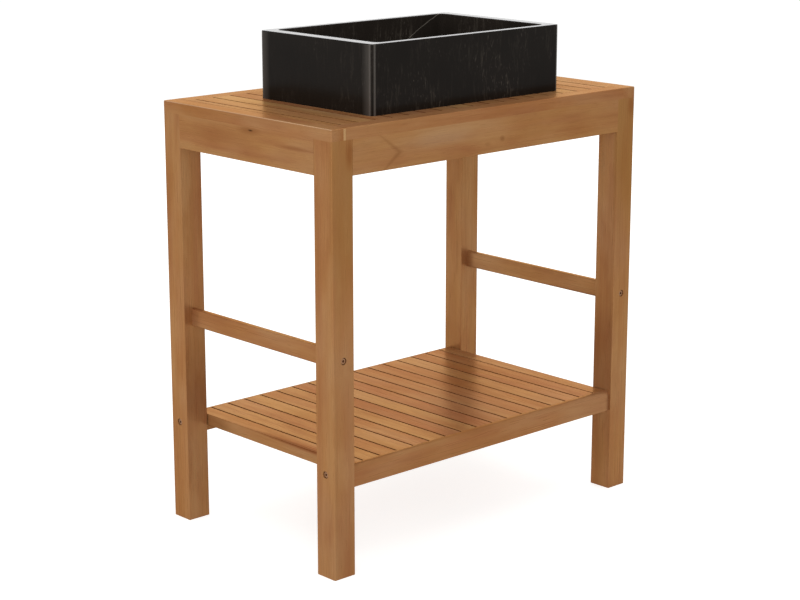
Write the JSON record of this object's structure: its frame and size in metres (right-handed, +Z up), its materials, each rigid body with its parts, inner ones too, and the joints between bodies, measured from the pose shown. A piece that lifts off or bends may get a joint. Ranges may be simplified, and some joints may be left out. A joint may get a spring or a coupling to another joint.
{
  "type": "vanity unit",
  "caption": "Open free-standing wash stand of slatted hardwood with a lower shelf and side towel rails, carrying a rectangular stone vessel basin with a lift-up waste plug.",
  "frame": {"origin": "on the floor under the middle of the stand", "axes": "+X to the right as seen from the front, -Y towards the front, +Z up"},
  "size_m": [0.74, 0.45, 0.89],
  "materials": {
    "teak": "oiled solid teak, satin",
    "marble": "honed to a satin polish, faint grey veins",
    "steel": "dulled zinc-plated",
    "chrome": "polished chrome plate",
    "rubber": "matt black rubber"
  },
  "bodies": {
    "stand": {"apron_back": "teak", "apron_front": "teak", "apron_left": "teak", "apron_right": "teak", "basin": "marble", "frame_screws": "steel", "leg_back_left": "teak", "leg_back_right": "teak", "leg_front_left": "teak", "leg_front_right": "teak", "shelf_batten": "teak", "shelf_edge_slats": "teak", "shelf_rail_back": "teak", "shelf_rail_front": "teak", "shelf_slat_01": "teak", "shelf_slat_02": "teak", "shelf_slat_03": "teak", "shelf_slat_04": "teak", "shelf_slat_05": "teak", "shelf_slat_06": "teak", "shelf_slat_07": "teak", "shelf_slat_08": "teak", "shelf_slat_09": "teak", "shelf_slat_10": "teak", "shelf_slat_11": "teak", "shelf_slat_12": "teak", "shelf_slat_13": "teak", "shelf_slat_14": "teak", "shelf_slat_15": "teak", "side_rail_left": "teak", "side_rail_right": "teak", "slat_screws": "steel", "top_battens": "teak", "top_board_back": "teak", "top_board_front": "teak", "top_board_left": "teak", "top_board_right": "teak", "top_edge_slats": "teak", "top_slat_01": "teak", "top_slat_02": "teak", "top_slat_03": "teak", "top_slat_04": "teak", "top_slat_05": "teak", "top_slat_06": "teak", "top_slat_07": "teak", "top_slat_08": "teak", "top_slat_09": "teak", "top_slat_10": "teak", "top_slat_11": "teak", "top_slat_12": "teak", "top_slat_13": "teak", "top_slat_14": "teak", "top_slat_15": "teak", "top_slat_16": "teak", "top_slat_17": "teak", "waste_body": "chrome", "waste_nut": "chrome", "waste_seals": "rubber"},
    "plug": {"waste_plug": "chrome", "plug_seal": "rubber"}
  },
  "joints": [
    {"name": "plug_lift", "type": "slide", "parent": "stand", "child": "plug", "axis": [0, 0, 1], "range_m": [0, 0.008]}
  ]
}
